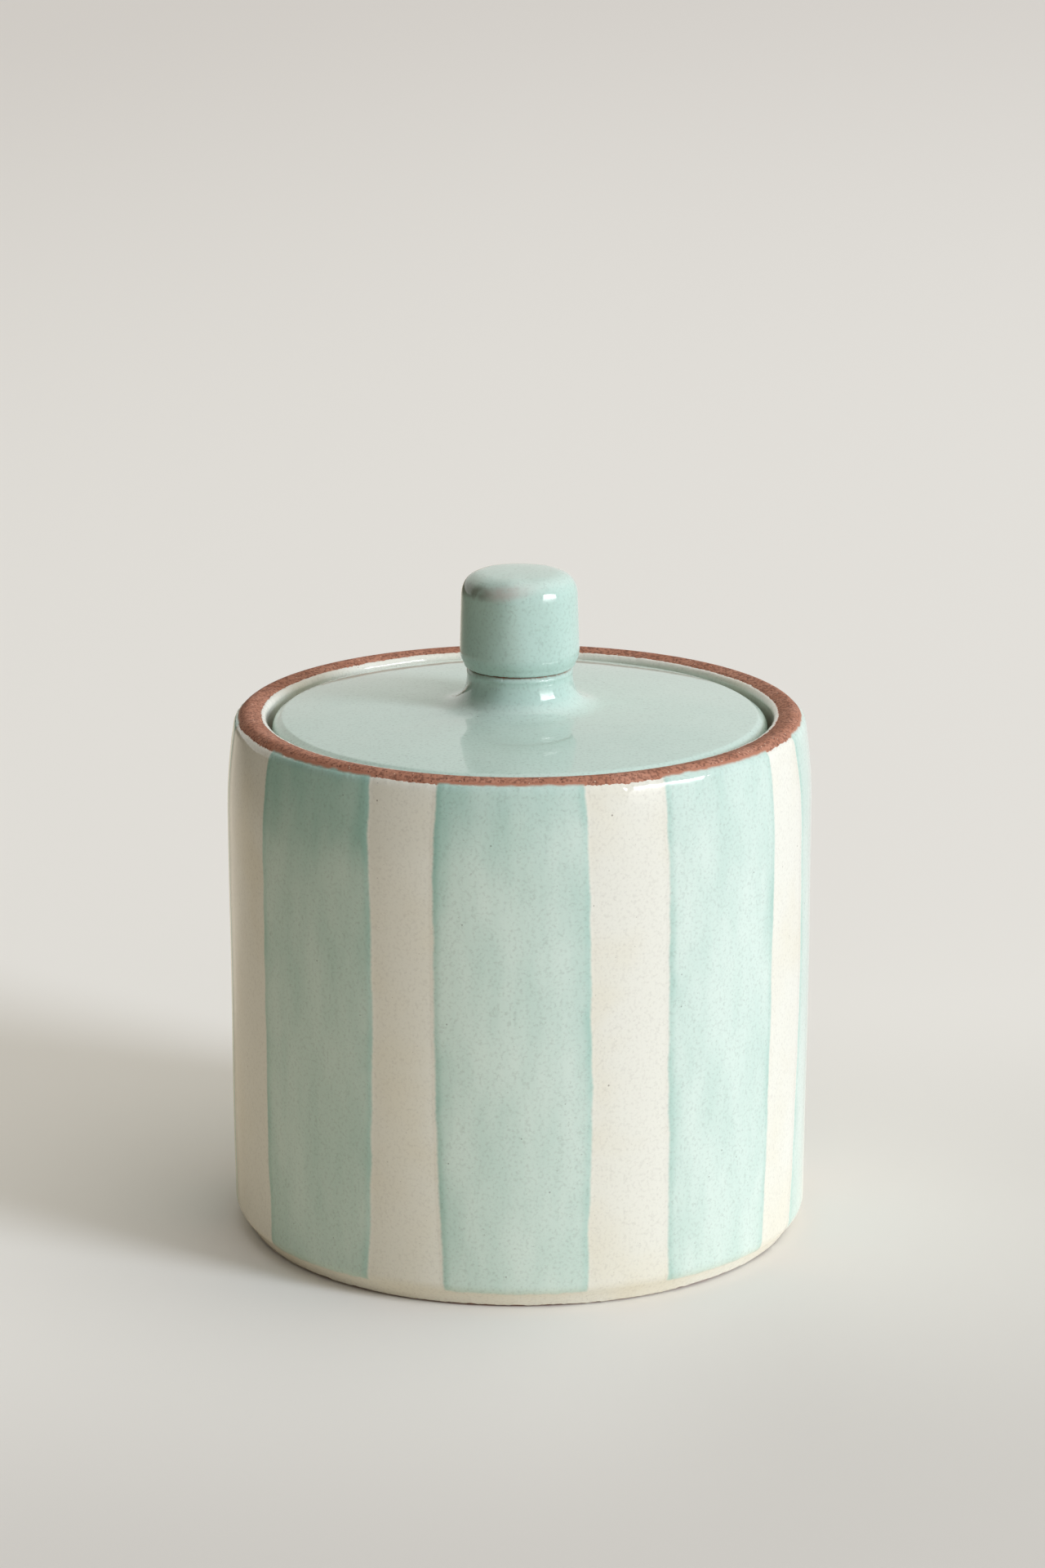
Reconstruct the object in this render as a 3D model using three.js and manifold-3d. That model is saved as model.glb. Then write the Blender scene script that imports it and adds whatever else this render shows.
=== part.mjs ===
// A striped terracotta storage jar with a drop-in lid and a turned knob.
// Millimetres, +Z up, the jar's axis on Z and its foot on Z = 0. The front faces -Y.
import * as THREE from "three";
import { mergeVertices } from "three/addons/utils/BufferGeometryUtils.js";
import Module from "manifold-3d";

// The pot
const jarDiameter = 100; // over the stripes, at the widest point
const jarHeight = 90.4; // foot to rim
const shoulderHeight = 18.4; // rim down to the widest point
const shoulderDraw = 1.3; // how far the wall draws in from there to the lip
const wallDraft = 0.7; // how far the wall draws in from there to the foot bevel
const wallThickness = 5.2; // clay, at the widest point
const lipOuterRound = 0.8;
const lipInnerRound = 0.8;
const floorThickness = 6;
const floorFillet = 6;
const bevelHeight = 4;
const bevelDepth = 3.2;
const footRingWidth = 4;
const footRecess = 1.2;

// The seat inside the mouth
const seatWidth = 6;
const seatThickness = 4;
const seatUnderSlope = 1; // rise over run under the seat

// The lid
const lidThickness = 5.6; // clay, at its edge and its middle
const lidDome = 1.65; // rise of the top from its edge to the neck
const lidRecess = 0.75; // the lid's finished top below the rim
const lidGap = 1.6; // between the two glazes, all round
const lidTopRound = 1.4;
const lidBottomRound = 0.7;
const neckDiameter = 17.2; // clay
const neckHeight = 7; // top of the dome to the knob joint
const neckFillet = 4.5;
const lidSeatRing = 8; // width of the flat ring under the lid's edge
const lidClearance = 0.1; // between the lid and its seat

// The knob head
const knobDiameter = 19.5; // clay, above its lower rounding
const knobFootDiameter = 17.2;
const knobTopDiameter = 18.6; // where the top rounding starts
const knobHeight = 16.3; // clay, joint to crown
const knobLowerRound = 3.2;
const knobTopRound = 2.6;
const knobCrown = 0.5;

// The glaze
const creamThickness = 0.4;
const mintThickness = 0.4;
const stripeThickness = 0.2;
const coatGap = 0.02; // clearance under each coat
const bareAtFoot = 0.45; // clay left bare above the foot
const bareAtBevel = 0.3; // cream left bare above the bevel
const bareAtSeat = 0.3; // clay left bare beside the seat
const bareAtJoint = 0.4; // clay left bare on each side of the knob joint
const lipGlazeAngle = 20; // degrees up the outer lip rounding that the cream reaches
const recessGlazeAngle = 30; // degrees up the inner lip rounding that the cream reaches
const stripeCount = 8;
const stripeWidth = 25;
const stripeTurn = -1.5; // degrees from the front to the first stripe's middle

// Facets
const turnSegments = 48;
const curveSteps = 2;
const arcSteps = 3;

// Radii and heights that follow from the sizes above
const clayRadius = jarDiameter / 2 - creamThickness - stripeThickness - 2 * coatGap;
const innerRadius = clayRadius - wallThickness;
const wallBaseRadius = clayRadius - wallDraft;
const footRadius = wallBaseRadius - bevelDepth;
const footRingInner = footRadius - footRingWidth;
const lipRadius = clayRadius - shoulderDraw;
const lipWidth = lipRadius - innerRadius;
const lipOuter = Math.min(lipOuterRound, lipWidth / 2);
const lipInner = Math.min(lipInnerRound, lipWidth / 2);
const widestHeight = jarHeight - shoulderHeight;
const lidTop = jarHeight - lidRecess - mintThickness - coatGap;
const lidBottom = lidTop - lidThickness;
const lidRadius = innerRadius - creamThickness - lidGap - mintThickness - 2 * coatGap;
const seatTop = lidBottom - lidClearance;
const seatInner = innerRadius - seatWidth;
const seatUnder = seatTop - seatThickness;
const seatRoot = seatUnder - seatWidth * seatUnderSlope;
const domeTop = lidTop + lidDome;
const jointHeight = domeTop + neckHeight;
const neckRadius = neckDiameter / 2;
const knobRadius = knobDiameter / 2;
const knobFootRadius = knobFootDiameter / 2;
const knobTopRadius = knobTopDiameter / 2;
const knobCrownHeight = jointHeight + knobHeight;
const knobTopHeight = knobCrownHeight - knobCrown;

const radians = THREE.MathUtils.degToRad;
const wasm = await Module();
wasm.setup();

// A point of a turned outline: its distance from the axis and its height.
function at(radius, height) {
  return new THREE.Vector2(radius, height);
}

// Points on an arc about a centre, from one angle to another in degrees, ends included.
function arc(centre, radius, from, to) {
  return Array.from({ length: arcSteps + 1 }, (_, step) => {
    const angle = radians(from + ((to - from) * step) / arcSteps);
    return at(centre.x + radius * Math.cos(angle), centre.y + radius * Math.sin(angle));
  });
}

// Points on a curve that leaves its start towards the corner and reaches its end from there.
function bend(start, corner, end) {
  return new THREE.QuadraticBezierCurve(start, corner, end).getPoints(curveSteps);
}

// The point at a distance along the line from one point to another.
function along(from, to, distance) {
  return from.clone().lerp(to, distance / from.distanceTo(to));
}

// The same outline moved out of the clay by a distance, with its straight stretches kept parallel.
// A point on the axis stays on it.
function offset(outline, distance) {
  const normals = outline.slice(1).map((point, index) => {
    const run = point.clone().sub(outline[index]).normalize();
    return at(run.y, -run.x);
  });
  return outline.map((point, index) => {
    const before = normals[Math.max(index - 1, 0)];
    const after = normals[Math.min(index, normals.length - 1)];
    const middle = point.x === 0 ? at(0, Math.sign(after.y)) : before.clone().add(after).normalize();
    return point.clone().addScaledVector(middle, distance / middle.dot(after));
  });
}

// An outline turned about Z. It runs up the outside and down the inside.
function turned(outline) {
  return new THREE.LatheGeometry(outline, turnSegments).rotateX(Math.PI / 2);
}

// A coat over a stretch of outline: from one height above the clay to another, turned about Z.
function coat(outline, bottom, thickness) {
  const under = offset(outline, bottom).reverse();
  const over = offset(outline, bottom + thickness);
  const closing = under[0].x === 0 ? [] : [under[0]];
  return turned([...under, ...over, ...closing]);
}

// A closed geometry as a solid for joining and cutting.
function solid(geometry) {
  const loose = geometry.index ? geometry.toNonIndexed() : geometry;
  const bare = new THREE.BufferGeometry();
  bare.setAttribute("position", loose.getAttribute("position"));
  const merged = mergeVertices(bare, 1e-4);
  return new wasm.Manifold(
    new wasm.Mesh({
      numProp: 3,
      vertProperties: merged.getAttribute("position").array,
      triVerts: new Uint32Array(merged.index.array),
    }),
  );
}

// A solid as a geometry.
function geometryOf(body) {
  const mesh = body.getMesh();
  const geometry = new THREE.BufferGeometry();
  geometry.setAttribute("position", new THREE.BufferAttribute(mesh.vertProperties, 3));
  geometry.setIndex(new THREE.BufferAttribute(mesh.triVerts, 1));
  geometry.computeVertexNormals();
  return geometry;
}

// A wedge of the space round the axis, wide enough to hold one stripe.
function wedge(middle, width) {
  const reach = jarDiameter;
  const corner = (angle) => at(reach * Math.sin(angle), -reach * Math.cos(angle));
  const sides = [middle - width / 2, middle, middle + width / 2].map(corner);
  const outline = new THREE.Shape([at(0, 0), ...sides]);
  return new THREE.ExtrudeGeometry(outline, { depth: 2 * jarHeight, bevelEnabled: false });
}

// The stretches of the pot's outline, from the middle of its underside to the middle of its floor
const underside = [at(0, footRecess), at(footRingInner - footRecess, footRecess), at(footRingInner, 0)];
const footEdge = at(footRadius, 0);
const bevelTop = at(wallBaseRadius, bevelHeight);
const widest = at(clayRadius, widestHeight);
const lipStart = at(lipRadius, jarHeight - lipOuter);
const wall = [
  ...bend(bevelTop, at(clayRadius, (bevelHeight + widestHeight) / 2), widest),
  ...bend(widest, at(clayRadius, jarHeight - shoulderHeight / 2), lipStart).slice(1),
];
const lipOuterCentre = at(lipRadius - lipOuter, jarHeight - lipOuter);
const lipInnerCentre = at(innerRadius + lipInner, jarHeight - lipInner);
const glazedLip = arc(lipOuterCentre, lipOuter, 0, lipGlazeAngle).slice(1);
const bareLip = [
  ...arc(lipOuterCentre, lipOuter, lipGlazeAngle, 90).slice(1),
  ...arc(lipInnerCentre, lipInner, 90, 180 - recessGlazeAngle),
];
const recess = arc(lipInnerCentre, lipInner, 180 - recessGlazeAngle, 180);
const seat = [at(innerRadius, seatTop), at(seatInner, seatTop)];
const lining = [
  at(seatInner, seatUnder),
  at(innerRadius, seatRoot),
  ...arc(at(innerRadius - floorFillet, floorThickness + floorFillet), floorFillet, 0, -90),
  at(0, floorThickness),
];
const potOutline = [
  ...underside,
  footEdge,
  ...wall,
  ...glazedLip,
  ...bareLip,
  ...recess.slice(1),
  ...seat,
  ...lining,
];

// The stretches that the cream coats cover
const creamOutside = [along(footEdge, bevelTop, bareAtFoot), ...wall, ...glazedLip];
const creamRecess = [...recess, at(innerRadius, seatTop + bareAtSeat)];
const creamLining = [at(seatInner, seatTop - bareAtSeat), ...lining];
const striped = [along(wall[0], wall[1], bareAtBevel), ...wall.slice(1), ...glazedLip];

// The lid's outline, from the middle of its underside to the middle of the knob joint
const lidSide = [
  ...arc(at(lidRadius - lidBottomRound, lidBottom + lidBottomRound), lidBottomRound, -90, 0),
  ...arc(at(lidRadius - lidTopRound, lidTop - lidTopRound), lidTopRound, 0, 90),
];
const domeEdge = at(lidRadius - lidTopRound, lidTop);
const domeMiddle = at(neckRadius + neckFillet, domeTop);
const dome = bend(domeEdge, at((domeEdge.x + domeMiddle.x) / 2, domeTop), domeMiddle).slice(1);
const neck = arc(at(domeMiddle.x, domeTop + neckFillet), neckFillet, 270, 180).slice(1);
const seatRingInner = at(lidRadius - lidSeatRing, lidBottom);
const dish = bend(at(0, lidBottom + lidDome), at(seatRingInner.x / 2, lidBottom + lidDome), seatRingInner);
const lidOutline = [
  ...dish,
  ...lidSide,
  ...dome,
  ...neck,
  at(neckRadius, jointHeight),
  at(0, jointHeight),
];
const mintLid = [
  ...lidSide.slice(arcSteps),
  ...dome,
  ...neck,
  at(neckRadius, jointHeight - bareAtJoint),
];

// The knob's outline, from the middle of the joint to the middle of its crown
const knobFoot = at(knobFootRadius, jointHeight);
const knobSideStart = at(knobRadius, jointHeight + knobLowerRound);
const knobUnder = bend(knobFoot, at(knobRadius, jointHeight + knobLowerRound / 2), knobSideStart);
const knobCrownStart = at(knobTopRadius - knobTopRound, knobTopHeight);
const knobSide = [
  ...knobUnder.slice(1),
  ...arc(at(knobCrownStart.x, knobTopHeight - knobTopRound), knobTopRound, 0, 90),
  ...bend(knobCrownStart, at(knobCrownStart.x / 2, knobCrownHeight), at(0, knobCrownHeight)).slice(1),
];
const knobOutline = [at(0, jointHeight), knobFoot, ...knobSide];
const mintKnob = [along(knobFoot, knobSide[0], bareAtJoint), ...knobSide];

// The finishes
const terracotta = new THREE.MeshStandardMaterial({ color: 0xb8795f, roughness: 0.9, metalness: 0 });
const creamGlaze = new THREE.MeshStandardMaterial({ color: 0xe6ddc9, roughness: 0.2, metalness: 0 });
const mintGlaze = new THREE.MeshStandardMaterial({ color: 0xb4cbbc, roughness: 0.2, metalness: 0 });

const jar = new THREE.Group();

// Adds one named piece to the jar.
function piece(name, geometry, material) {
  const mesh = new THREE.Mesh(geometry, material.clone());
  mesh.name = name;
  jar.add(mesh);
}

// The pot and its cream coats
piece("jar_body", turned(potOutline), terracotta);
piece("outer_glaze", coat(creamOutside, coatGap, creamThickness), creamGlaze);
piece("recess_glaze", coat(creamRecess, coatGap, creamThickness), creamGlaze);
piece("lining_glaze", coat(creamLining, coatGap, creamThickness), creamGlaze);

// The stripes, cut from one turned coat that lies on the cream
const stripeBand = solid(coat(striped, creamThickness + 2 * coatGap, stripeThickness));
const stripeAngle = stripeWidth / (jarDiameter / 2);
for (let index = 0; index < stripeCount; index += 1) {
  const middle = radians(stripeTurn) + (index * 2 * Math.PI) / stripeCount;
  const stripe = stripeBand.intersect(solid(wedge(middle, stripeAngle)));
  piece(`stripe_${index + 1}`, geometryOf(stripe), mintGlaze);
}

// The lid and its knob, each under a mint coat
piece("lid_plate", turned(lidOutline), terracotta);
piece("lid_glaze", coat(mintLid, coatGap, mintThickness), mintGlaze);
piece("knob", turned(knobOutline), terracotta);
piece("knob_glaze", coat(mintKnob, coatGap, mintThickness), mintGlaze);

export default jar;
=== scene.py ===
"""A striped terracotta storage jar with a drop-in lid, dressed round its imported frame."""
import bpy
import numpy as np
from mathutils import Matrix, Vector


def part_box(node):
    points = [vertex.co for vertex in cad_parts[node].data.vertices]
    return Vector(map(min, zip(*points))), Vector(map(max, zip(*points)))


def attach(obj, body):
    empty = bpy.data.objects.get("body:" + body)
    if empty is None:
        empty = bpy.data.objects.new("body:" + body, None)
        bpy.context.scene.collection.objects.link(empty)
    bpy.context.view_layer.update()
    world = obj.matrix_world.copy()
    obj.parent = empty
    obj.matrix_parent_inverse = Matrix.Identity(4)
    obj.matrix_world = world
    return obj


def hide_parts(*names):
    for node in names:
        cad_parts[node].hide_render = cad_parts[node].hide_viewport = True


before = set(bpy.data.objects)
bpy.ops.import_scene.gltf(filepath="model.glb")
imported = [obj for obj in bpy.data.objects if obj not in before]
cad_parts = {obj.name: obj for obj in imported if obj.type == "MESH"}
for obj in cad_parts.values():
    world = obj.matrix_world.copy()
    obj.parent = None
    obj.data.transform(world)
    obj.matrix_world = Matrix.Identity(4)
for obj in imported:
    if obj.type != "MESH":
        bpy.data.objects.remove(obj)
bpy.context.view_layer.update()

# The pot: red clay thrown and turned in one piece, with a bevelled foot ring and a domed lip.
# A ledge inside its mouth carries the lid. Lip, ledge and foot are fired bare, so the clay's grain shows.
MM = 0.001  # sizes are in millimetres unless a comment says metres, and the frame is in metres
foot_recess = 1.2
foot_recess_rounding = 0.8
foot_ring_width = 4.0
foot_ring_rounding = 0.5
foot_edge_rounding = 0.3
bevel_height = 3.8
bevel_depth = 2.9
bevel_rounding = 0.9
wall_draft = 0.4
wall_thickness = 5.95
straight_above_bevel = 1.0
straight_below_lip = 2.0
shoulder_draw = 1.33
shoulder_height = 9.2
lip_fall = 0.95
lip_rounding = 0.75
crown_rise = 0.35
crown_inset = 1.35
crown_rounding = 1.0
mouth_fall = 0.45
mouth_rounding = 1.2
ledge_width = 5.25
ledge_thickness = 4.0
ledge_clearance = 0.1
ledge_root_rounding = 0.4
ledge_edge_rounding = 0.5
ledge_under_rounding = 0.8
haunch_rounding = 2.5
floor_thickness = 6.0
floor_rounding = 6.0
clay_red = (0.43, 0.187, 0.114)


def extent(node):
    """A turned node's radius, and its lowest and highest points, in millimetres."""
    low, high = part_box(node)
    return high.x / MM, low.z / MM, high.z / MM


def rounded(corners, steps=10):
    """An outline through corners of radius, height and cut, each cut back and bridged by a parabola.

    The bridge at a corner c is (1-t)^2 a + 2t(1-t) c + t^2 b, where a and b lie on the sides before and
    after the corner, one cut away from it. The first and last corners are the outline's ends.
    """
    corners = np.array(corners, float)
    points, cuts = corners[:, :2], corners[1:-1, 2:]
    back, here, ahead = points[:-2], points[1:-1], points[2:]
    before = here + cuts * (back - here) / np.linalg.norm(back - here, axis=1, keepdims=True)
    after = here + cuts * (ahead - here) / np.linalg.norm(ahead - here, axis=1, keepdims=True)
    t = np.linspace(0, 1, steps)[:, None]
    bridges = [(1 - t) ** 2 * a + 2 * t * (1 - t) * c + t ** 2 * b for a, c, b in zip(before, here, after)]
    return np.concatenate([points[:1], *bridges, points[-1:]])


def lengths(outline):
    """The distance along an outline to each of its points."""
    return np.concatenate([[0], np.cumsum(np.linalg.norm(np.diff(outline, axis=0), axis=1))])


def walk(outline, distance):
    """Radius, height and outward direction at distances along an outline that runs up its outside."""
    marks = lengths(outline)
    slopes = np.gradient(outline, marks, axis=0)
    r, z, dr, dz = (np.interp(distance, marks, column) for column in (*outline.T, *slopes.T))
    size = np.hypot(dr, dz)
    return r, z, dz / size, -dr / size


def reach(outline, radius, height):
    """The distance along an outline to its point nearest to a radius and height."""
    fine = np.linspace(0, lengths(outline)[-1], 20000)
    r, z, _, _ = walk(outline, fine)
    return fine[np.argmin((r - radius) ** 2 + (z - height) ** 2)]


def around(turn, radius, height):
    """Points at angles round the jar's axis, (r sin a, -r cos a, z), so that angle 0 is the front."""
    return np.stack(np.broadcast_arrays(radius * np.sin(turn), -radius * np.cos(turn), height), axis=-1)


def full_turn(count):
    """Angles all the way round, as a column to set against a row of heights."""
    return np.linspace(0, 2 * np.pi, count, endpoint=False)[:, None]


def skin(name, points, numbers, **marks):
    """A smooth mesh whose faces are the cells of a grid of point numbers, with a mark on each point.

    Where a cell's corner is doubled, as at a pole, the cell is a triangle.
    """
    sharp_from = np.radians(50)
    cells = np.stack([numbers[:-1, :-1], numbers[1:, :-1], numbers[1:, 1:], numbers[:-1, 1:]], axis=-1)
    used, places = np.unique(cells, return_inverse=True)
    cells = places.reshape(-1, 4)
    doubled = cells == np.roll(cells, 1, axis=1)
    pinched = doubled.any(axis=1)
    triangles = cells[pinched][~doubled[pinched]].reshape(-1, 3)
    mesh = bpy.data.meshes.new(name)
    mesh.from_pydata(points.reshape(-1, 3)[used] * MM, [], cells[~pinched].tolist() + triangles.tolist())
    mesh.polygons.foreach_set("use_smooth", np.ones(len(mesh.polygons), bool))
    mesh.set_sharp_from_angle(angle=sharp_from)
    for mark, values in marks.items():
        mesh.attributes.new(mark, "FLOAT", "POINT").data.foreach_set("value", values.ravel()[used])
    mesh.update()
    piece = bpy.data.objects.new(name, mesh)
    bpy.context.scene.collection.objects.link(piece)
    return piece


def turned_numbers(turns, rows):
    """Point numbers of a grid that closes round the axis and has a pole at each end."""
    numbers = np.arange(turns * rows).reshape(turns, rows)
    numbers[:, 0] = numbers[0, 0]
    numbers[:, -1] = numbers[0, -1]
    return np.vstack([numbers, numbers[:1]])


def turned(name, outline, turns=720):
    """A solid of clay: an outline from axis to axis, carried round the axis."""
    grid = around(full_turn(turns), outline[:, 0], outline[:, 1])
    return skin(name, grid, turned_numbers(turns, len(outline)))


class Wire:
    """A socket in a node tree. Sums, differences and products of wires and numbers add Math nodes."""

    def __init__(self, tree, socket=None):
        self.tree = tree
        self.socket = socket

    def node(self, kind, settings=None, sockets=None, output=0):
        """Adds a node: its settings first, then the value or the wire of each of its sockets."""
        made = self.tree.nodes.new(kind)
        for name, value in (settings or {}).items():
            setattr(made, name, value)
        for name, value in (sockets or {}).items():
            if isinstance(value, Wire):
                self.tree.links.new(value.socket, made.inputs[name])
            else:
                made.inputs[name].default_value = value
        return Wire(self.tree, made.outputs[output] if made.outputs else None)

    def math(self, operation, first, second):
        """A Math node on two wires or numbers."""
        return self.node("ShaderNodeMath", {"operation": operation}, {0: first, 1: second})

    def __add__(self, other):
        return self.math("ADD", self, other)

    def __sub__(self, other):
        return self.math("SUBTRACT", self, other)

    def __rsub__(self, other):
        return self.math("SUBTRACT", other, self)

    def __mul__(self, other):
        return self.math("MULTIPLY", self, other)

    __radd__ = __add__
    __rmul__ = __mul__

    def rise(self, low, high):
        """0 below one value and 1 above another, with a smooth rise between them."""
        sockets = {"Value": self, "From Min": low, "From Max": high}
        return self.node("ShaderNodeMapRange", {"interpolation_type": "SMOOTHSTEP"}, sockets)

    def mix(self, first, second):
        """The first colour where this wire is 0 and the second where it is 1."""
        paints = [(*paint, 1) if isinstance(paint, tuple) else paint for paint in (first, second)]
        sockets = {0: self, 6: paints[0], 7: paints[1]}
        return self.node("ShaderNodeMix", {"data_type": "RGBA"}, sockets, output=2)

    def along(self, axis):
        """One of this place's three coordinates, X, Y or Z."""
        return self.node("ShaderNodeSeparateXYZ", {}, {0: self}, axis)

    def stretched(self, x, y, z):
        """This place with its axes multiplied by three numbers."""
        return self.node("ShaderNodeVectorMath", {"operation": "MULTIPLY"}, {0: self, 1: (x, y, z)})

    def noise(self, size, detail=2.0):
        """Smooth noise from 0 to 1 at this place, with lumps about a size across."""
        return self.node("ShaderNodeTexNoise", {}, {"Vector": self, "Scale": 1 / size, "Detail": detail})

    def specks(self, spacing, radius, share):
        """1 on specks of a radius, in a share of the cells that lie a spacing apart, and 0 elsewhere."""
        sockets = {"Vector": self, "Scale": 1 / spacing}
        cell = self.node("ShaderNodeTexVoronoi", {}, sockets, "Color")
        chance = self.node("ShaderNodeSeparateColor", {}, {"Color": cell}, "Red")
        distance = self.node("ShaderNodeTexVoronoi", {}, sockets, "Distance") * spacing
        return (1 - distance.rise(0.5 * radius, radius)) * (1 - chance.rise(share - 0.01, share + 0.01))


def new_material(name):
    """A new material, and the place on its surface in millimetres."""
    material = bpy.data.materials.new(name)
    material.use_nodes = True
    material.node_tree.nodes.clear()
    metres = Wire(material.node_tree).node("ShaderNodeTexCoord", output="Object")
    place = metres.node("ShaderNodeVectorMath", {"operation": "SCALE"}, {0: metres, "Scale": 1 / MM})
    return material, place


def finish_surface(place, colour, roughness, relief, depth, specular):
    """Joins a colour, a roughness and a relief that is a depth deep, in millimetres, to the surface."""
    bump = {"Height": relief, "Distance": depth * MM, "Strength": 1.0}
    sockets = {
        "Base Color": colour,
        "Roughness": roughness,
        "Normal": place.node("ShaderNodeBump", {}, bump),
        "Specular IOR Level": specular,
    }
    shader = place.node("ShaderNodeBsdfPrincipled", {}, sockets)
    place.node("ShaderNodeOutputMaterial", {}, {"Surface": shader})


def terracotta():
    """Bare fired clay: fine grain and slow patches of red, with pale grit, dark pits and a rough face."""
    clay_light = (0.52, 0.25, 0.165)
    clay_dark = (0.175, 0.072, 0.046)
    grit_pale = (0.80, 0.62, 0.46)
    material, place = new_material("terracotta")
    grain = place.noise(0.55, 4.0)
    grit = place.specks(0.75, 0.13, 0.22)
    pits = place.specks(0.6, 0.19, 0.40)
    colour = place.noise(5.0).rise(0.35, 0.7).mix(clay_red, clay_light)
    colour = (grain.rise(0.60, 0.32) * 0.8).mix(colour, clay_dark)
    colour = (pits * 0.6).mix(colour, clay_dark)
    colour = grit.mix(colour, grit_pale)
    finish_surface(place, colour, 0.92 - grit * 0.5, grain + grit * 0.4 - pits, 0.10, 0.3)
    return material


clay_radius, foot_height, rim_height = extent("jar_body")
lid_radius, lid_bottom, joint_height = extent("lid_plate")
wall_foot_radius = clay_radius - wall_draft
foot_radius = wall_foot_radius - bevel_depth
ring_radius = foot_radius - foot_ring_width
bore_radius = clay_radius - wall_thickness
lip_radius = clay_radius - shoulder_draw
ledge_radius = bore_radius - ledge_width
ledge_height = lid_bottom - ledge_clearance
ledge_under = ledge_height - ledge_thickness
wall_middle = (bevel_height + rim_height - 2 * shoulder_height) / 2
draft_rounding = wall_middle - bevel_height - straight_above_bevel
shoulder_rounding = shoulder_height - straight_below_lip
pot_outline = rounded([
    (0, foot_recess, 0),
    (ring_radius - foot_recess, foot_recess, foot_recess_rounding),
    (ring_radius, foot_height, foot_ring_rounding),
    (foot_radius, foot_height, foot_edge_rounding),
    (wall_foot_radius, bevel_height, bevel_rounding),
    (clay_radius, wall_middle, draft_rounding),
    (clay_radius, rim_height - shoulder_height, shoulder_rounding),
    (lip_radius, rim_height - lip_fall, lip_rounding),
    (lip_radius - crown_inset, rim_height + crown_rise, crown_rounding),
    (bore_radius, rim_height - mouth_fall, mouth_rounding),
    (bore_radius, ledge_height, ledge_root_rounding),
    (ledge_radius, ledge_height, ledge_edge_rounding),
    (ledge_radius, ledge_under, ledge_under_rounding),
    (bore_radius, ledge_under - ledge_width, haunch_rounding),
    (bore_radius, floor_thickness, floor_rounding),
    (0, floor_thickness, 0),
])
clay = terracotta()
pot = turned("pot", pot_outline, turns=660)
pot.data.materials.append(clay)
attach(pot, "jar")
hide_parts("jar_body")

# The cream coat outside: glaze poured over the leather-hard wall and wiped off the lip and the foot.
# It is under half a millimetre thick, and thins out to a ragged edge that wanders round the jar.
coat_gap = 0.02
cream_thickness = 0.37
glaze_swell = 0.015
glaze_specular = 0.5
bare_at_foot = 0.4
bare_below_lip = 0.95
bare_inside_lip = 0.15
foot_raggedness = 0.10
lip_raggedness = 0.06
foot_taper = 0.8
lip_taper = 1.5
foot_roll = 0.35


def wander(turn, size, finest, seed):
    """An uneven line round the jar: cosines of 3 to a finest number of waves, with random phases.

    A wave's size falls with the square root of its number, and the sum's usual size is the one given.
    """
    waves = np.arange(3, finest)
    phases = np.random.default_rng(seed).uniform(0, 2 * np.pi, waves.size)
    weights = waves ** -0.5
    weights *= size / np.sqrt(np.sum(weights ** 2) / 2)
    return np.cos(turn[..., None] * waves + phases) @ weights


def swell(turn, distance, size, seed):
    """Slow unevenness of a coat: a sum of cosines of 1 to 9 waves round the jar.

    Each is cos(waves * turn + slant * distance + phase), with a random phase and slant along the outline.
    """
    random = np.random.default_rng(seed)
    waves = np.arange(1, 10)
    slants = random.uniform(-0.15, 0.15, waves.size)
    phases = random.uniform(0, 2 * np.pi, waves.size)
    crests = np.cos(turn[..., None] * waves + distance[..., None] * slants + phases)
    return size * crests.sum(axis=-1) / np.sqrt(waves.size / 2)


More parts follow.
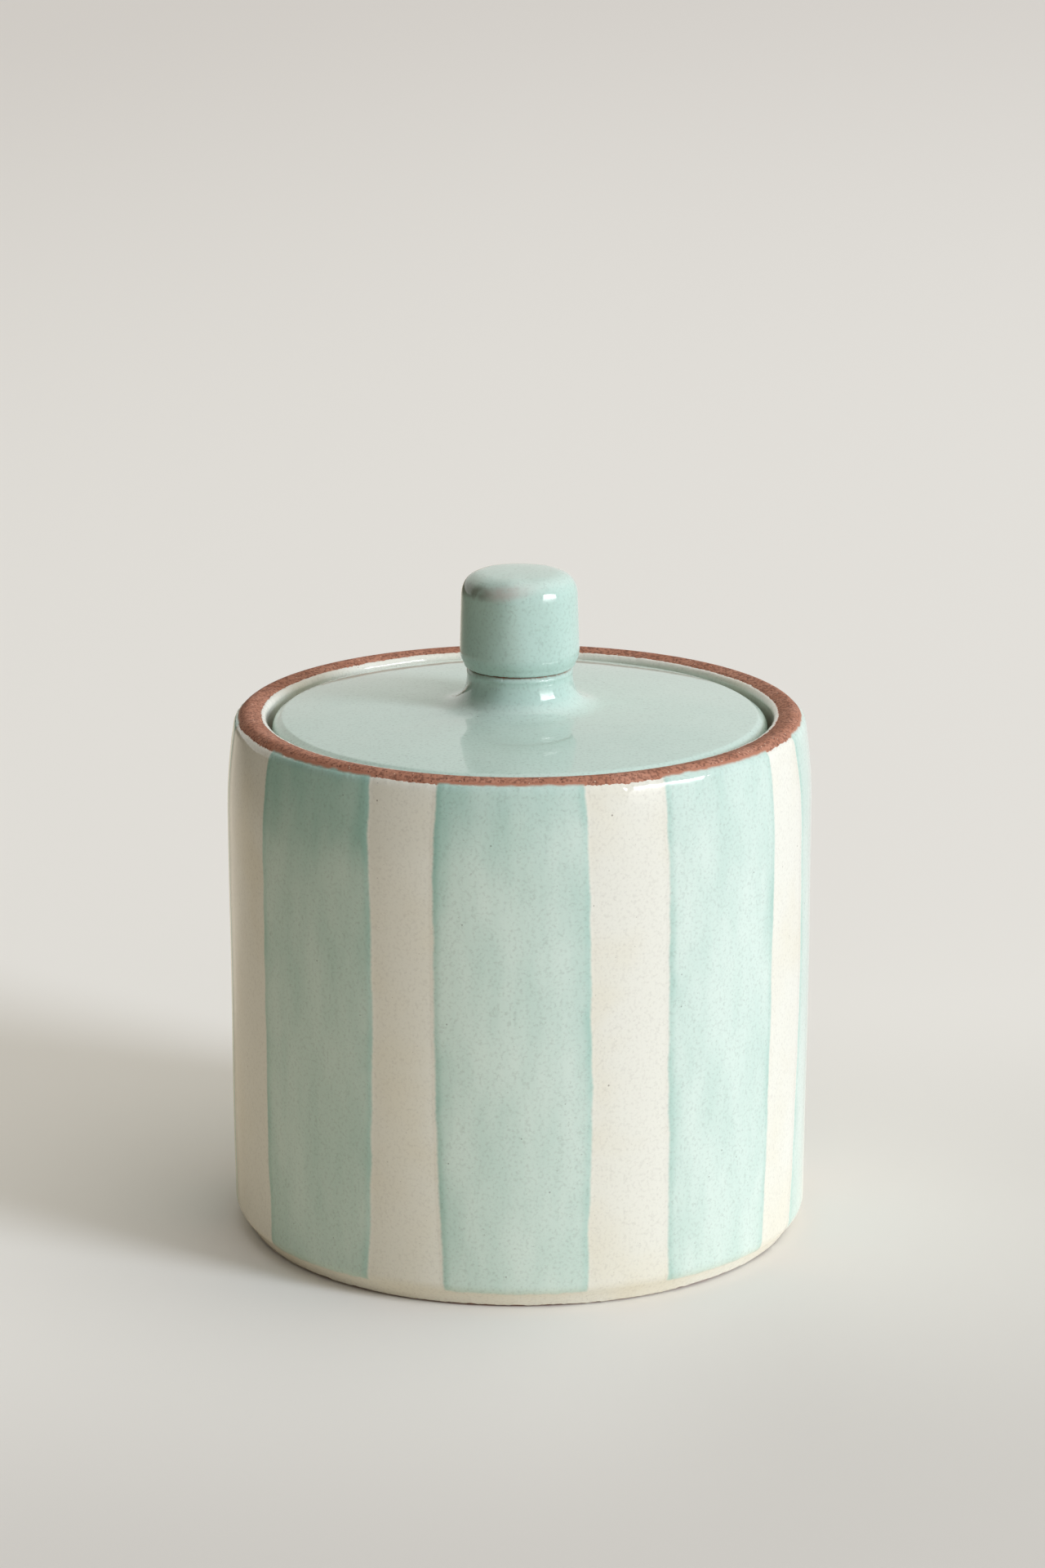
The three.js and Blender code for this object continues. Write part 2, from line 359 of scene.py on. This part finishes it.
class Coat:
    """A coat of glaze on a stretch of clay outline, between two edges that wander round the jar.

    Raggedness, taper and roll are given for the edge where the coat starts, then for the one where it ends.
    """

    def __init__(
        self, outline, low, high, thickness, seed,
        raggedness=(0.045, 0.045), tapers=(0.6, 0.6), rolls=(0.35, 0.35),
    ):
        self.outline = outline
        self.low = low
        self.high = high
        self.thickness = thickness
        self.seed = seed
        self.raggedness = raggedness
        self.tapers = tapers
        self.rolls = rolls
        self.to_axis = high >= lengths(outline)[-1]

    def edges(self, turn):
        """The distances along the outline where the coat starts and ends at each angle."""
        finest = 380
        low = self.low + wander(turn, self.raggedness[0], finest, self.seed)
        high = self.high + wander(turn, 0 if self.to_axis else self.raggedness[1], finest, self.seed + 1)
        return low, high

    def insets(self, turn, distance):
        """How far a point lies inside the edge where the coat starts, and inside the one where it ends."""
        low, high = self.edges(turn)
        return distance - low, np.where(self.to_axis, np.inf, high - distance)

    def face(self, turn, distance):
        """Radius, height and outward direction of the glaze's face.

        It stands off the clay by its thickness times s(2 - s) + 4 roll s(1 - s) for each edge, where s is
        the share of that edge's taper reached, so a low roll can run along an edge.
        Slow swells of the thickness die away within a calm radius of the axis.
        """
        calm_radius = 8.0
        unevenness = 0.10
        r, z, out, up = walk(self.outline, distance)
        uneven = swell(turn, distance, unevenness * self.thickness, self.seed + 2)
        level = self.thickness + uneven * np.clip(r / calm_radius, 0, 1) ** 2
        for inset, taper, roll in zip(self.insets(turn, distance), self.tapers, self.rolls):
            share = np.clip(inset / taper, 0, 1)
            level = level * share * (2 - share + 4 * roll * (1 - share))
        stand = coat_gap + level
        return r + stand * out, z + stand * up, out, up

    def made(self, name, turns=900, longest=4.0):
        """The coat as a closed shell: down along the clay, then up over the face of the glaze."""
        turn = full_turn(turns)
        taper = 1 - np.cos(np.linspace(0, np.pi / 2, 9))
        rows = [lengths(self.outline), np.arange(self.low, self.high, longest)]
        rows.append(self.low + taper * self.tapers[0])
        if not self.to_axis:
            rows.append(self.high - taper * self.tapers[1])
        rows = np.concatenate(rows)
        rows = np.unique(np.round(rows[(rows >= self.low) & (rows <= self.high)], 4))
        share = (rows - rows[0]) / (rows[-1] - rows[0])
        low, high = self.edges(turn)
        outside = low + share * (high - low)
        inside = outside[:, (-1 if self.to_axis else -2):0:-3]
        r, z, out, up = walk(self.outline, inside)
        under = around(turn, r + coat_gap * out, z + coat_gap * up)
        r, z, _, _ = self.face(turn, outside)
        over = around(turn, r, z)
        inset = np.minimum(*self.insets(turn, outside))
        grid = np.concatenate([under, over], axis=1)
        inset = np.concatenate([np.zeros_like(inside), inset], axis=1)
        count = grid.shape[1]
        numbers = np.pad(np.arange(turns * count).reshape(turns, count), ((0, 1), (0, 1)), mode="wrap")
        if self.to_axis:
            grid[:, [0, -1], :2] = 0
            numbers = turned_numbers(turns, count)
        return skin(name, grid, numbers, inset_mm=inset)


def cream_paint(place):
    """Cream glaze over red clay: slow warm clouds, fine mottling and small brown specks of iron."""
    cream = (0.78, 0.767, 0.675)
    cream_warm = (0.76, 0.725, 0.60)
    iron = (0.20, 0.16, 0.12)
    colour = place.noise(16.0).rise(0.4, 0.75).mix(cream, cream_warm)
    colour = (place.noise(0.5, 3.0).rise(0.45, 0.8) * 0.16).mix(colour, iron)
    colour = (place.specks(2.9, 0.20, 0.16) * 0.7).mix(colour, iron)
    return (place.specks(1.1, 0.11, 0.22) * 0.45).mix(colour, iron)


def glaze_gloss(place):
    """Roughness of fired glaze: glossy, and a little duller in patches."""
    return place.noise(9.0).rise(0.3, 0.8) * 0.03 + 0.055


def glaze_relief(place):
    """Relief of fired glaze: low swells a few millimetres across, and fine orange peel."""
    return place.noise(5.0, 1.0) + place.noise(0.9, 1.0) * 0.1


def cream_glaze():
    """The cream coat: at its edge it breaks up into grains and lets the clay show."""
    material, place = new_material("cream_glaze")
    inset = place.node("ShaderNodeAttribute", {"attribute_name": "inset_mm"}, output="Fac")
    bare = 1 - (inset + place.noise(0.5) * 0.7).rise(0.36, 0.48)
    colour = bare.mix(cream_paint(place), clay_red)
    roughness = glaze_gloss(place) + bare * 0.8
    finish_surface(place, colour, roughness, glaze_relief(place), glaze_swell, glaze_specular)
    return material


foot_edge = reach(pot_outline, foot_radius, foot_height)
lip_edge = reach(pot_outline, lip_radius - bare_inside_lip, rim_height - bare_below_lip)
cream = cream_glaze()
outside_coat = Coat(
    pot_outline, foot_edge + bare_at_foot, lip_edge, cream_thickness, seed=11,
    raggedness=(foot_raggedness, lip_raggedness), tapers=(foot_taper, lip_taper), rolls=(foot_roll, 0),
)
outside = outside_coat.made("cream_coat_outside")
outside.data.materials.append(cream)
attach(outside, "jar")
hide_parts("outer_glaze")

# The mint stripes: eight broad brush strokes of thicker glaze laid on the cream from the lip to the bevel.
# Their edges wander as a hand-drawn stroke does, and the colour pools along the sides and the shoulder; on
# the jar's left side it is made deeper still, a painted shade.
stripe_thickness = 0.09
stripe_fade = 0.6
over_lip = 0.1
over_bevel = 0.6
side_waver = 0.0018  # radians
foot_waver = 0.09
lip_waver = 0.10
stripe_edges = [
    # Degrees from the front at the foot, the middle and the lip: first the left edge, then the right.
    ((-14.6, -16.2, -16.0), (13.2, 13.6, 12.5)),
    ((29.9, 29.6, 29.0), (55.9, 57.6, 58.0)),
    ((68.6, 72.5, 70.8), (98.4, 99.3, 98.0)),
    ((115.6, 116.4, 115.8), (144.6, 145.2, 144.1)),
    ((162.2, 161.6, 162.4), (190.7, 191.4, 190.9)),
    ((208.6, 207.8, 208.3), (236.9, 237.6, 237.1)),
    ((251.8, 251.2, 251.9), (278.4, 278.9, 278.6)),
    ((301.8, 301.1, 301.8), (329.2, 330.9, 329.6)),
]


def brush_edge(angles, height, seed):
    """A stripe's edge: the parabola through its angles at foot, middle and lip, with a small waver."""
    slowness = 30
    finest = 30
    foot, middle, lip = angles
    q = 2 * (height - bevel_height) / (rim_height - bevel_height) - 1
    curve = middle + (lip - foot) / 2 * q + ((lip + foot) / 2 - middle) * q ** 2
    return np.radians(curve) + wander(height / slowness, side_waver, finest, seed)


def mint_stripe(name, left, right, seed):
    """A brush stroke as a closed shell on the cream.

    Across it runs from edge to edge by its own width, and along it by the distance up the pot's outline.
    How deep a point lies inside the stroke is a soft minimum of its depths from the sides and the ends,
    -ln(sum of exp(-k depth))/k, and the stroke's thickness rises smoothly with that depth.
    """
    columns = 90
    blunt = 5.0
    finest = 120
    start = reach(pot_outline, wall_foot_radius, bevel_height) - over_bevel
    end = outside_coat.high + over_lip
    ends = np.linspace(-1, 2, 16)
    rows = np.concatenate([lengths(pot_outline), np.arange(start, end, 2.0), start + ends, end - ends])
    rows = rows[(rows > start - stripe_fade) & (rows < end + stripe_fade)]
    rows = np.unique(np.round(rows, 4))[None, :]
    r, z, _, _ = walk(pot_outline, rows)
    left_turn = brush_edge(left, z, seed)
    width = (brush_edge(right, z, seed + 1) - left_turn) * r
    share = np.linspace(0, 1, columns)[:, None]
    across = -stripe_fade + share * (width + 2 * stripe_fade)
    turn = left_turn + across / r
    distance = np.broadcast_to(rows, turn.shape)
    foot_end = start + wander(turn, foot_waver, finest, 3)
    lip_end = end + wander(turn, lip_waver, finest, 4)
    depths = np.stack([across, width - across, distance - foot_end, lip_end - distance])
    depth = -np.log(np.exp(-blunt * depths).sum(axis=0)) / blunt
    rise = np.clip((depth + stripe_fade) / (2.5 * stripe_fade), 0, 1)
    height = coat_gap / 2 + stripe_thickness * rise ** 2 * (3 - 2 * rise)
    r, z, out, up = outside_coat.face(turn, distance)
    over = around(turn, r + height * out, z + height * up)
    under = around(turn, r + coat_gap / 4 * out, z + coat_gap / 4 * up)
    tucked = slice(-2, 0, -1)
    grid = np.concatenate([over, under[tucked]])
    numbers = np.arange(len(grid) * rows.size).reshape(len(grid), rows.size)
    numbers[columns:, [0, -1]] = numbers[columns - 2:0:-1, [0, -1]]
    side = np.minimum(across, width - across)
    _, below_edge = outside_coat.insets(turn, distance)
    marks = {"depth_mm": depth, "side_mm": side, "below_edge_mm": below_edge}
    marks = {mark: np.concatenate([values, values[tucked]]) for mark, values in marks.items()}
    return skin(name, grid, np.vstack([numbers, numbers[:1]]), **marks)


def mint_paint(place, depth):
    """Mint glaze: pale where it lies thin and deeper where it pools, with fine mottling and small specks."""
    mint_thin = (0.655, 0.762, 0.682)
    mint_deep = (0.345, 0.545, 0.465)
    iron = (0.15, 0.17, 0.14)
    colour = depth.mix(mint_thin, mint_deep)
    colour = (place.noise(0.5, 3.0).rise(0.45, 0.8) * 0.24).mix(colour, iron)
    colour = (place.specks(2.4, 0.19, 0.20) * 0.6).mix(colour, iron)
    return (place.specks(1.0, 0.11, 0.28) * 0.42).mix(colour, iron)


def stripe_glaze():
    """The stripes' mint: it pools along the sides and the shoulder, is made deeper on the jar's left side
    and left shoulder as painted shade, and fades into the cream at its edge.
    """
    pool_at_sides = 0.27
    pool_beside_them = 0.32
    pool_in_strokes = 0.32
    # The two amounts at the left are painted shade: they make the mint deeper on the jar's left side and
    # left shoulder.
    painted_shade_at_left = 0.27
    pool_at_shoulder = 0.12
    painted_shade_at_left_shoulder = 0.36
    material, place = new_material("stripe_glaze")
    depth = place.node("ShaderNodeAttribute", {"attribute_name": "depth_mm"}, output="Fac")
    side = place.node("ShaderNodeAttribute", {"attribute_name": "side_mm"}, output="Fac")
    below_edge = place.node("ShaderNodeAttribute", {"attribute_name": "below_edge_mm"}, output="Fac")
    spread = place.noise(11.0).rise(0.3, 0.75)
    narrow = 1 - side.rise(0.2, 1.6)
    broad = (1 - side.rise(0.3, 4.2)) * spread
    shoulder = (place.along("Z") + place.noise(14.0) * 14.0).rise(76.0, 96.0)
    covered = (depth + place.noise(0.6) * 0.3).rise(-0.18, 0.42)
    brushed = place.stretched(1, 1, 0.3).noise(5.0, 3.0).rise(0.25, 0.8)
    # Painted shade: the mint is made deeper on the jar's left side and at its left shoulder, the side turned
    # from the lamp. The sum below is real pooling at the sides, in the strokes and at the shoulder, plus
    # this painted shade.
    shaded_left = 1 - place.along("X").rise(-42, 40)
    pooled_and_shaded = narrow * pool_at_sides + broad * pool_beside_them + brushed * pool_in_strokes
    pooled_and_shaded = pooled_and_shaded + shaded_left * shaded_left * painted_shade_at_left
    pooled_and_shaded = pooled_and_shaded + shoulder * (shaded_left * painted_shade_at_left_shoulder + pool_at_shoulder)
    bare = 1 - (below_edge + place.noise(0.5) * 0.7).rise(0.36, 0.48)
    ground = bare.mix(cream_paint(place), clay_red)
    colour = covered.mix(ground, mint_paint(place, pooled_and_shaded))
    roughness = glaze_gloss(place) + bare * (1 - covered) * 0.8
    finish_surface(place, colour, roughness, glaze_relief(place), glaze_swell, glaze_specular)
    return material


stripe_mint = stripe_glaze()
for number, (left, right) in enumerate(stripe_edges, start=1):
    stripe = mint_stripe(f"mint_stripe_{number}", left, right, 100 + 2 * number)
    stripe.data.materials.append(stripe_mint)
    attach(stripe, "jar")
    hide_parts(f"stripe_{number}")

# The cream coats inside: one in the recess that holds the lid, one lining the pot below the ledge.
# The ledge between them is wiped bare, so that the lid doesn't stick to it in the kiln.
bare_at_mouth = 0.48
bare_inside_mouth = 0.66
bare_at_ledge = 0.3
mouth_taper = 1.4
mouth_roll = 0.2
recess_foot_taper = 0.6
recess_foot_roll = 0.35
recess_top = reach(pot_outline, bore_radius + bare_inside_mouth, rim_height - bare_at_mouth)
recess_foot = reach(pot_outline, bore_radius, ledge_height) - bare_at_ledge
recess_coat = Coat(
    pot_outline, recess_top, recess_foot, cream_thickness, seed=21,
    tapers=(mouth_taper, recess_foot_taper), rolls=(mouth_roll, recess_foot_roll),
)
recess = recess_coat.made("cream_coat_recess")
lining_top = reach(pot_outline, ledge_radius, ledge_height) + bare_at_ledge
lining_coat = Coat(pot_outline, lining_top, lengths(pot_outline)[-1], cream_thickness, seed=31)
lining = lining_coat.made("cream_coat_lining")
for coat, node in ((recess, "recess_glaze"), (lining, "lining_glaze")):
    coat.data.materials.append(cream)
    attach(coat, "jar")
    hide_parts(node)

# The lid: a turned plate of the same clay that drops into the recess, domed a little, with a flared neck.
# Its underside is fired bare, and rests on the ledge by a flat ring round its edge.
lid_thickness = 5.6
lid_dome = 1.65
lid_dome_rounding = 11.0
lid_dish_rounding = 15.0
lid_seat_ring = 8.0
lid_seat_rounding = 1.0
lid_edge_rounding = 0.7
lid_bevel_width = 1.35
lid_bevel_height = 0.9
lid_bevel_rounding = 0.12
neck_radius = 8.6
neck_fillet = 6.0
joint_rounding = 0.2
lid_edge_height = lid_bottom + lid_thickness
dome_height = lid_edge_height + lid_dome
lid_outline = rounded([
    (0, lid_bottom + lid_dome, 0),
    ((lid_radius - lid_seat_ring) / 2, lid_bottom + lid_dome, lid_dish_rounding),
    (lid_radius - lid_seat_ring, lid_bottom, lid_seat_rounding),
    (lid_radius, lid_bottom, lid_edge_rounding),
    (lid_radius, lid_edge_height - lid_bevel_height, lid_edge_rounding),
    (lid_radius - lid_bevel_width, lid_edge_height, lid_bevel_rounding),
    ((lid_radius + neck_radius + neck_fillet) / 2, dome_height, lid_dome_rounding),
    (neck_radius, dome_height, neck_fillet),
    (neck_radius, joint_height, joint_rounding),
    (0, joint_height, 0),
], steps=14)
lid = turned("lid", lid_outline)
lid.data.materials.append(clay)
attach(lid, "lid")
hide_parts("lid_plate")

# The lid's mint coat: brushed on while the lid turned, over the edge, the top and the neck.
# It stops just short of the joint under the knob, where a thin line of clay is left.
mint_thickness = 0.38
bare_at_joint = 0.04
bare_above_underside = 0.7
lid_edge_raggedness = 0.08
joint_raggedness = 0.03
lid_edge_taper = 0.6
joint_taper = 1.0


def mint_glaze():
    """The mint of the lid and the knob: thin and brown at the joint, broken pink over the knob's top edge
    with painted shade on the left of that edge, and made paler where it faces up, a painted top light.
    """
    mint_swell = 0.010
    thin_glaze = (0.36, 0.27, 0.20)
    # The dark below is painted shade at the left of the knob's top edge; the pink is glaze broken thin over
    # the edge.
    painted_shade_dark = (0.17, 0.165, 0.125)
    broken_pink = (0.52, 0.47, 0.42)
    break_and_shade_height = 112.3
    material, place = new_material("mint_glaze")
    inset = place.node("ShaderNodeAttribute", {"attribute_name": "inset_mm"}, output="Fac")
    thin = 1 - (inset + place.noise(1.2) * 0.25).rise(0.08, 0.42)
    height = place.along("Z") + place.noise(3.0) * 1.2 - 0.6 - place.along("X").rise(-6, 1) * 0.8
    above_side = height.rise(break_and_shade_height - 2.0, break_and_shade_height - 0.6)
    edge = above_side * (1 - height.rise(break_and_shade_height, break_and_shade_height + 1.2))
    leftward = 1 - place.along("X").rise(-2.5, 4.5)
    # Partly real, partly painted: the glaze breaks pink over the knob's top edge, and at the left of that
    # edge it is painted dark as painted shade.
    break_and_shade = edge * leftward * place.noise(1.5, 3.0).rise(-0.1, 0.6)
    break_and_shade_colour = place.along("X").rise(-7.0, -3.5).mix(painted_shade_dark, broken_pink)
    # Painted light: the mint is made paler where the surface faces up and deeper on steep faces, as if lit
    # from above; the noise term is real unevenness.
    level = place.node("ShaderNodeNewGeometry", output="Normal").along("Z").rise(0.3, 0.9)
    pooled_and_shaded = place.noise(14.0) * 0.3 + 0.42 - level * 0.25
    colour = (break_and_shade * 0.7).mix(mint_paint(place, pooled_and_shaded), break_and_shade_colour)
    colour = (thin * 0.8).mix(colour, thin_glaze)
    finish_surface(place, colour, glaze_gloss(place), glaze_relief(place), mint_swell, glaze_specular)
    return material


mint = mint_glaze()
lid_low = reach(lid_outline, lid_radius, lid_bottom) + bare_above_underside
lid_high = reach(lid_outline, neck_radius, joint_height) - bare_at_joint
lid_coat = Coat(
    lid_outline, lid_low, lid_high, mint_thickness, seed=41,
    raggedness=(lid_edge_raggedness, joint_raggedness), tapers=(lid_edge_taper, joint_taper),
)
lid_glaze = lid_coat.made("mint_coat_lid", turns=600, longest=1.0)
lid_glaze.data.materials.append(mint)
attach(lid_glaze, "lid")
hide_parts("lid_glaze")

# The knob's head: a short turned drum of clay, stuck on the neck with slip before firing.
# Its lower edge is rounded under, its top edge softly rounded, and its crown almost flat.
knob_foot_radius = 8.6
knob_tuck = 2.2
knob_tuck_rounding = 1.0
knob_top_radius = 9.3
knob_top_rounding = 3.4
knob_crown = 0.5
knob_crown_rounding = 1.8
knob_flat_radius = 3.5
knob_radius, _, knob_height = extent("knob")
knob_outline = rounded([
    (0, joint_height, 0),
    (knob_foot_radius, joint_height, joint_rounding),
    (knob_radius, joint_height + knob_tuck, knob_tuck_rounding),
    (knob_top_radius, knob_height - knob_crown, knob_top_rounding),
    (knob_flat_radius, knob_height, knob_crown_rounding),
    (0, knob_height, 0),
], steps=14)
knob = turned("knob_head", knob_outline)
knob.data.materials.append(clay)
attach(knob, "lid")
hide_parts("knob")

# The knob's mint coat: the same glaze as the lid's, from the joint line up over the crown.
# It is one closed skin, thinned out where it meets the joint.
knob_low = reach(knob_outline, knob_foot_radius, joint_height) + bare_at_joint
knob_coat = Coat(
    knob_outline, knob_low, lengths(knob_outline)[-1], mint_thickness, seed=51,
    raggedness=(joint_raggedness, 0), tapers=(joint_taper, joint_taper),
)
knob_glaze = knob_coat.made("mint_coat_knob", turns=480, longest=0.8)
knob_glaze.data.materials.append(mint)
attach(knob_glaze, "lid")
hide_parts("knob_glaze")

# The floor: a wide pale sheet under the jar and behind it, matt, which keeps the jar's shadow.
# It is palest behind the jar, and darker towards the camera, the far end, the left and beside the jar at the
# right: a painted falloff and shade of the light.
floor_half = 6.0  # metres
floor_pale = (0.93, 0.905, 0.85)
floor_near = (0.755, 0.728, 0.68)
floor_far = (0.80, 0.765, 0.715)
floor_left = (0.94, 0.935, 0.925)
floor_bounce = (0.92, 0.83, 0.68)
floor_end = (0.13, 0.105, 0.07)
floor_right = (0.95, 0.92, 0.87)
floor_mesh = bpy.data.meshes.new("floor")
floor_corners = [(-1, -1, 0), (1, -1, 0), (1, 1, 0), (-1, 1, 0)]
floor_mesh.from_pydata(np.array(floor_corners) * floor_half, [], [(0, 1, 2, 3)])
floor = bpy.data.objects.new("floor", floor_mesh)
bpy.context.scene.collection.objects.link(floor)
paper, spot = new_material("paper")
rightward = spot.along("X")
backward = spot.along("Y")
depthwise = backward - spot.math("MINIMUM", rightward, 0.0) * 1.2
# Painted shade: the paper is made darker towards the camera, beside the jar at the right, towards the far
# end and towards the left.
paper_colour = backward.rise(-165, -42).mix(floor_near, floor_pale)
painted_shade_beside = rightward.rise(0, 50) * (1 - backward.rise(10, 130))
paper_colour = (painted_shade_beside * 0.8).mix(paper_colour, floor_near)
paper_colour = depthwise.rise(400, 2400).mix(paper_colour, floor_far)
shade = rightward.rise(-450, 450).mix(floor_left, (1.0, 1.0, 1.0))
paper_colour = spot.node(
    "ShaderNodeMix", {"data_type": "RGBA", "blend_type": "MULTIPLY"}, {0: 1.0, 6: paper_colour, 7: shade}, 2,
)
bounced = rightward.rise(-450, -120).mix(floor_end, floor_bounce)
bounced = rightward.rise(-10, 90).mix(bounced, floor_right)
seen = spot.node("ShaderNodeLightPath", output="Is Camera Ray")
matt = {"Base Color": seen.mix(bounced, paper_colour), "Roughness": 1.0, "Specular IOR Level": 0.0}
spot.node("ShaderNodeOutputMaterial", {}, {"Surface": spot.node("ShaderNodeBsdfPrincipled", {}, matt)})
floor.data.materials.append(paper)

# The light: one broad lamp at the right, low and soft, with its panel mirrored in the glaze.
# The room is pale behind the jar, cool at the right and dark at the front left.
key_turn = np.radians(60)
key_rise = np.radians(21)
key_strength = 1.98
key_spread = np.radians(17)
key_colour = (0.90, 0.98, 1.13)
panel_turn = np.radians(60)
panel_rise = np.radians(14)
panel_roll = np.radians(-15)
panel_distance = 1.2  # metres
panel_width = 0.68  # metres
panel_height = 0.62  # metres
panel_bright = 14.0
panel_dim = 1.0
dim_below_middle = 280
bright_above_middle = 220
room_left = (0.03, 0.022, 0.014)
room_right = (0.60, 0.60, 0.60)
room_back = (0.80, 0.79, 0.75)
room_above = (1.54, 1.48, 1.39)
room_seen = (0.74, 0.72, 0.67)
lamp = bpy.data.lights.new("key_lamp", "SUN")
lamp.energy = key_strength
lamp.angle = key_spread
lamp.color = key_colour
key = bpy.data.objects.new("key_lamp", lamp)
key.rotation_euler = (np.pi / 2 - key_rise, 0, key_turn)
key.visible_glossy = False
bpy.context.scene.collection.objects.link(key)

panel_from = around(panel_turn, np.cos(panel_rise), np.sin(panel_rise))
panel_level = np.array([np.cos(panel_turn), np.sin(panel_turn), 0])
panel_right = panel_level * np.cos(panel_roll) + np.cross(panel_from, panel_level) * np.sin(panel_roll)
panel_up = np.cross(panel_from, panel_right)
panel_centre = panel_from * panel_distance
panel_sides = np.array([(-1, -1), (1, -1), (1, 1), (-1, 1)]) / 2
panel_points = panel_centre + panel_sides[:, :1] * panel_width * panel_right
panel_points = panel_points + panel_sides[:, 1:] * panel_height * panel_up
panel_mesh = bpy.data.meshes.new("light_panel")
panel_mesh.from_pydata(panel_points, [], [(0, 1, 2, 3)])
panel = bpy.data.objects.new("light_panel", panel_mesh)
panel.visible_camera = False
panel.visible_diffuse = False
panel.visible_shadow = False
panel.visible_transmission = False
bpy.context.scene.collection.objects.link(panel)
glow, cloth = new_material("light_panel")
panel_middle = panel_centre[2] / MM
upper = cloth.along("Z").rise(panel_middle - dim_below_middle, panel_middle + bright_above_middle)
glow_colour = upper.mix((panel_dim,) * 3, (panel_bright,) * 3)
lit = cloth.node("ShaderNodeEmission", {}, {"Color": glow_colour})
cloth.node("ShaderNodeOutputMaterial", {}, {"Surface": lit})
panel.data.materials.append(glow)

world = bpy.data.worlds.new("room")
bpy.context.scene.world = world
world.use_nodes = True
world.node_tree.nodes.clear()
room = Wire(world.node_tree)
direction = room.node("ShaderNodeTexCoord", output="Generated")
ahead = direction.along("X").rise(-0.75, 0.12).mix(room_left, room_right)
level = direction.along("Y").rise(0.3, 0.65).mix(ahead, room_back)
above = direction.along("X").rise(-0.58, 0.5).mix(room_left, room_above)
room_colour = direction.along("Z").rise(0.6, 0.95).mix(level, above)
seen = room.node("ShaderNodeLightPath", output="Is Camera Ray")
sky = room.node("ShaderNodeBackground", {}, {"Color": seen.mix(room_colour, room_seen)})
room.node("ShaderNodeOutputWorld", {}, {"Surface": sky})
bpy.context.scene.view_settings.view_transform = "Standard"

# The camera: above the jar's rim, looking down by 15 degrees, with a long lens.
# Its place and tilt were fitted to the ellipses of the rim, the foot and the lid.
camera_place = (0.00047, -0.7944, 0.2906)  # metres
camera_tilt = np.radians(74.96)
focal_length = 110.57
film_width = 36.0
lens = bpy.data.cameras.new("camera")
lens.lens = focal_length
lens.sensor_width = film_width
camera = bpy.data.objects.new("camera", lens)
camera.location = camera_place
camera.rotation_euler = (camera_tilt, 0, 0)
bpy.context.scene.collection.objects.link(camera)
bpy.context.scene.camera = camera

bpy.context.view_layer.update()
